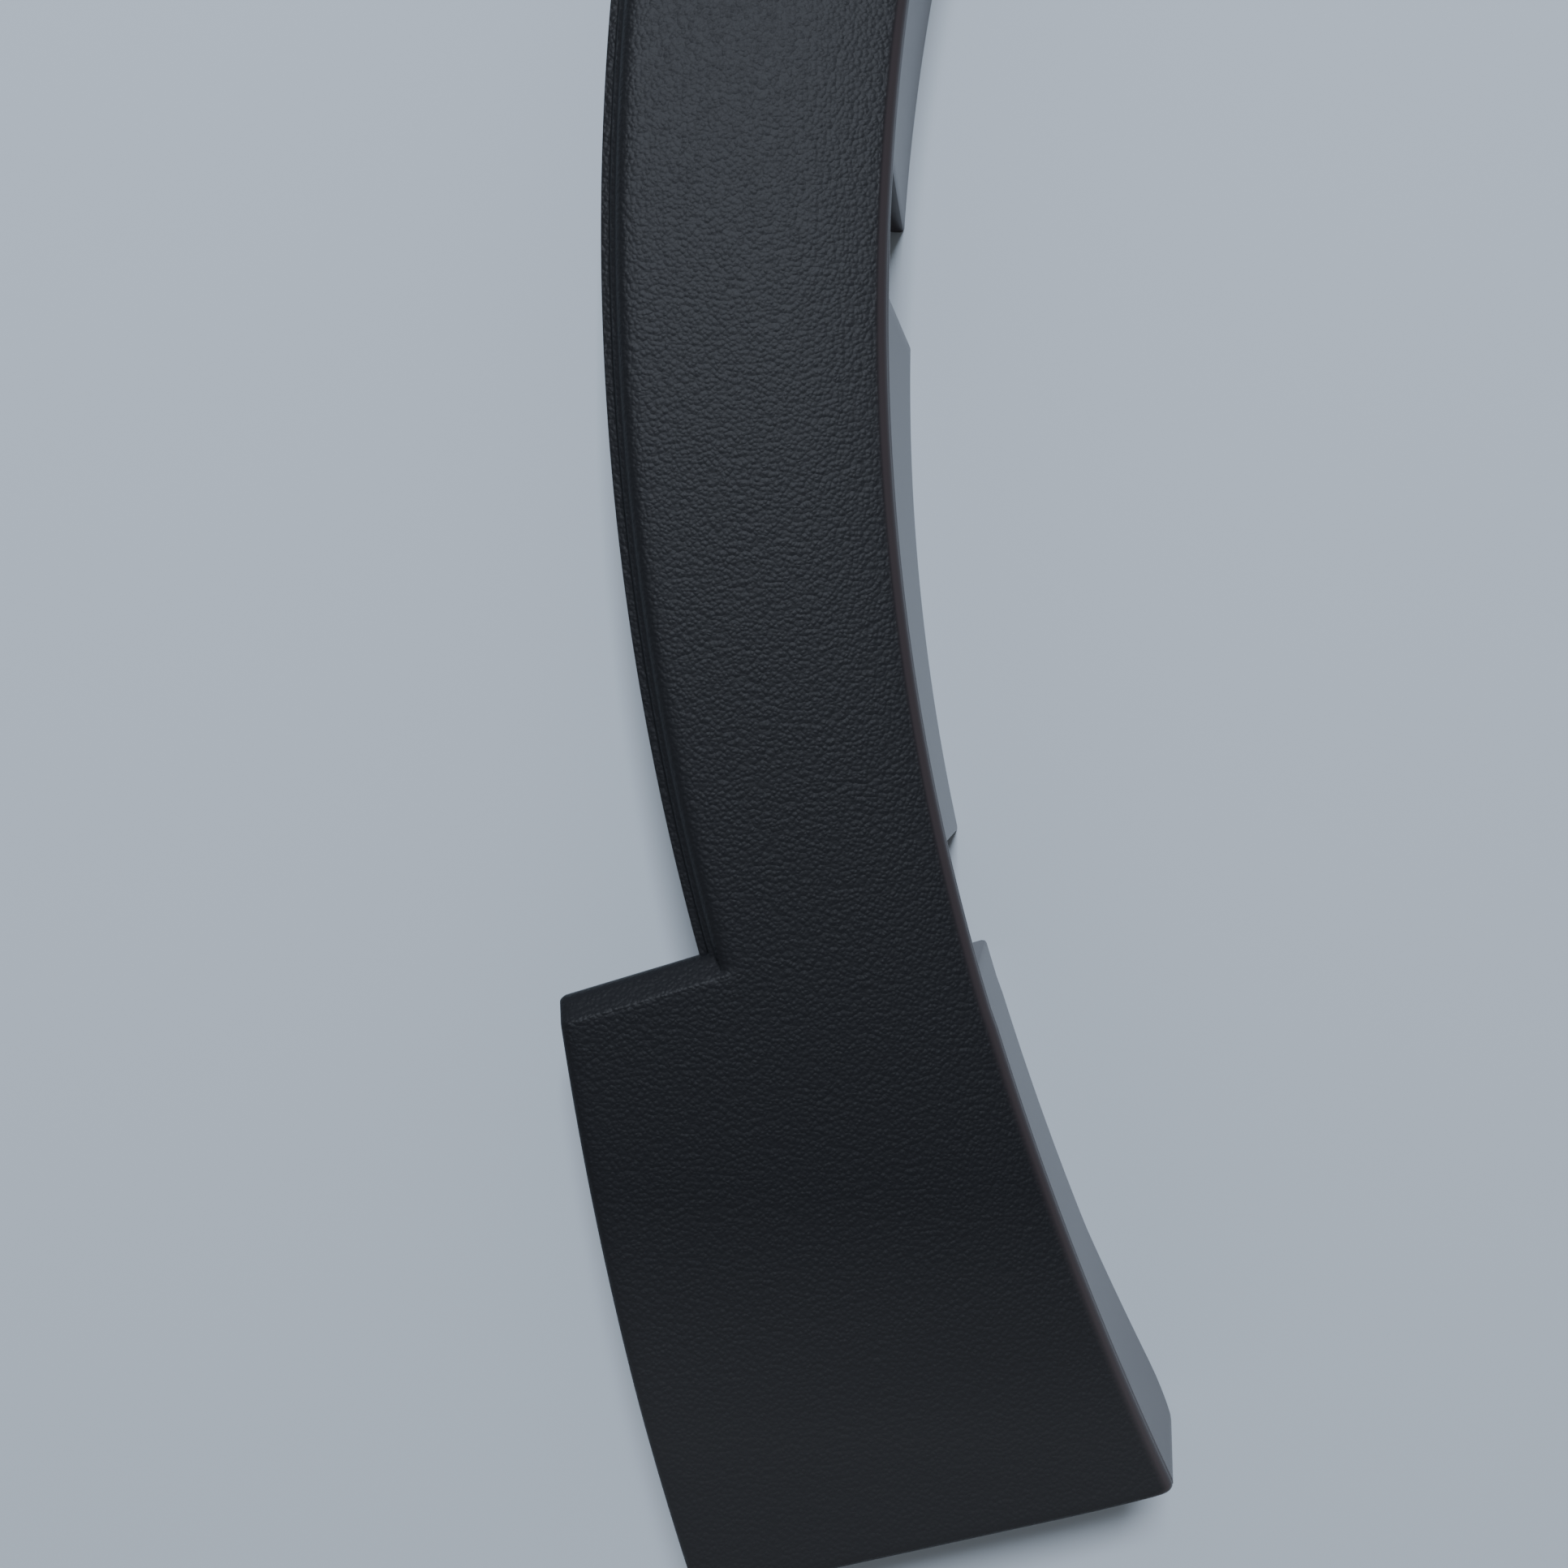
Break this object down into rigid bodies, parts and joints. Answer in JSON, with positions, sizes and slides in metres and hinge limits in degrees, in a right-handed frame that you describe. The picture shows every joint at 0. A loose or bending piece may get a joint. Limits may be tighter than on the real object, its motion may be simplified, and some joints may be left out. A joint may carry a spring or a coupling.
{
  "type": "wheel arch trim",
  "caption": "Curved black plastic moulding that edges a car's wheel opening, with a thin outer lip, a screw flange on the wheel side and a wide foot at its lower end.",
  "frame": {"origin": "the centre of the wheel opening, on the plane of the flange's back edge, which is the surface that the trim lies on", "axes": "X from the foot side towards the wheel opening, Y up the car, Z out of the car, which is up for the trim as it lies"},
  "size_m": [0.5906, 0.6545, 0.034],
  "materials": {
    "black_plastic": "unpainted moulded black plastic, finely grained on the show face and smoother on the flange"
  },
  "bodies": {
    "root": {"arch_trim": "black_plastic"}
  },
  "joints": []
}
